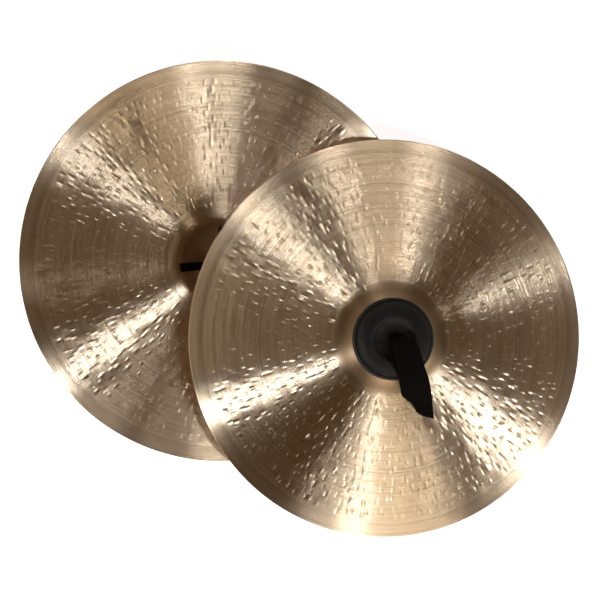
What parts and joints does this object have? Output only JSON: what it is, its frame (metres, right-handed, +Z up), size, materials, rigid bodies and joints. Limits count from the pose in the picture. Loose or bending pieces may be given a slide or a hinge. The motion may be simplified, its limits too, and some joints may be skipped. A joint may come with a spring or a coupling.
{
  "type": "hand cymbals",
  "caption": "Pair of hammered bronze hand cymbals, one leaning on the other, each with a padded leather disc and a knotted leather hand strap.",
  "frame": {"origin": "middle of the pair's outline in plan, on the surface that it lies on", "axes": "+X to the right as a person looks down on the pair, +Y away, +Z up"},
  "size_m": [0.6449, 0.5468, 0.0855],
  "materials": {
    "bronze": "hammered and lathed",
    "pad_leather": "satin",
    "strap_leather": "matt"
  },
  "bodies": {
    "rear_cymbal": {"rear_cymbal": "bronze"},
    "rear_grip": {"rear_pad": "pad_leather", "rear_strap_neck": "strap_leather", "rear_strap_knot": "strap_leather", "rear_strap_tails": "strap_leather"},
    "rear_loop": {"rear_strap_loop": "strap_leather"},
    "front_cymbal": {"front_cymbal": "bronze"},
    "front_grip": {"front_pad": "pad_leather", "front_strap_neck": "strap_leather", "front_strap_knot": "strap_leather", "front_strap_tails": "strap_leather"},
    "front_loop": {"front_strap_loop": "strap_leather"}
  },
  "joints": [
    {"name": "front_lift", "type": "slide", "parent": "rear_cymbal", "child": "front_cymbal", "axis": [0, 0, 1], "range_m": [0, 0.25]},
    {"name": "rear_grip_turn", "type": "hinge", "parent": "rear_cymbal", "child": "rear_grip", "pos_m": [-0.09674, 0.04304, 0.00245], "axis": [0.0548, 0.0423, 0.9976], "continuous": true},
    {"name": "front_grip_turn", "type": "hinge", "parent": "front_cymbal", "child": "front_grip", "pos_m": [0.10293, -0.04485, 0.08002], "axis": [0.1444, 0, 0.9895], "continuous": true},
    {"name": "rear_loop_fold", "type": "hinge", "parent": "rear_grip", "child": "rear_loop", "pos_m": [-0.09674, 0.04304, 0.00245], "axis": [0.6109, -0.7917, 0], "range_deg": [0, 100]},
    {"name": "front_loop_fold", "type": "hinge", "parent": "front_grip", "child": "front_loop", "pos_m": [0.10293, -0.04485, 0.08002], "axis": [-0.9411, -0.309, 0.1373], "range_deg": [0, 100]}
  ]
}
